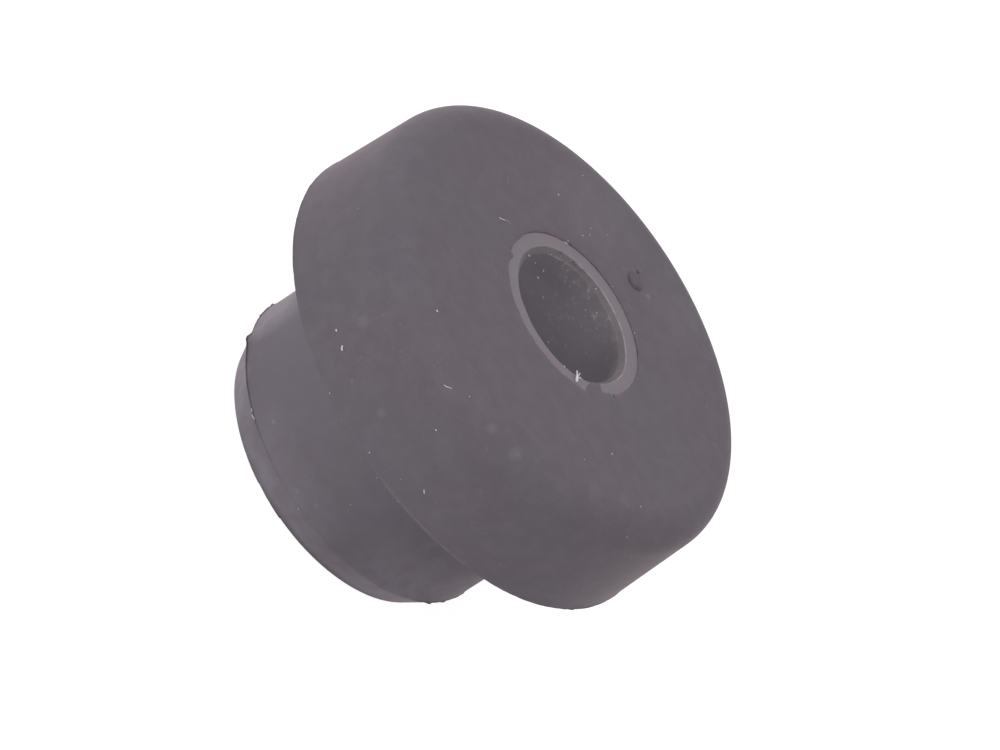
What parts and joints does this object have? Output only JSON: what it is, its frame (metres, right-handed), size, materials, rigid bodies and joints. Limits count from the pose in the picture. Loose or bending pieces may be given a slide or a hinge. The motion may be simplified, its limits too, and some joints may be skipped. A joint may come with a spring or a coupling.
{
  "type": "cab mount isolator",
  "caption": "Stepped round rubber bush, with a wide head, a boss and a tapered nose, bonded round a steel sleeve for a through bolt.",
  "frame": {"origin": "centre of the nose's flat end face, on the bolt axis", "axes": "+Z along the bolt axis from the nose to the head; +Y points to the gate mark in the head's face"},
  "size_m": [0.0604, 0.0604, 0.0378],
  "materials": {
    "rubber": "matt moulded natural rubber with a slight grey bloom, trimmed flash and a little lint",
    "sleeve_steel": "matt phosphated steel, dull and dusty inside the bore"
  },
  "bodies": {
    "root": {"rubber_body": "rubber", "inner_sleeve": "sleeve_steel"}
  },
  "joints": []
}
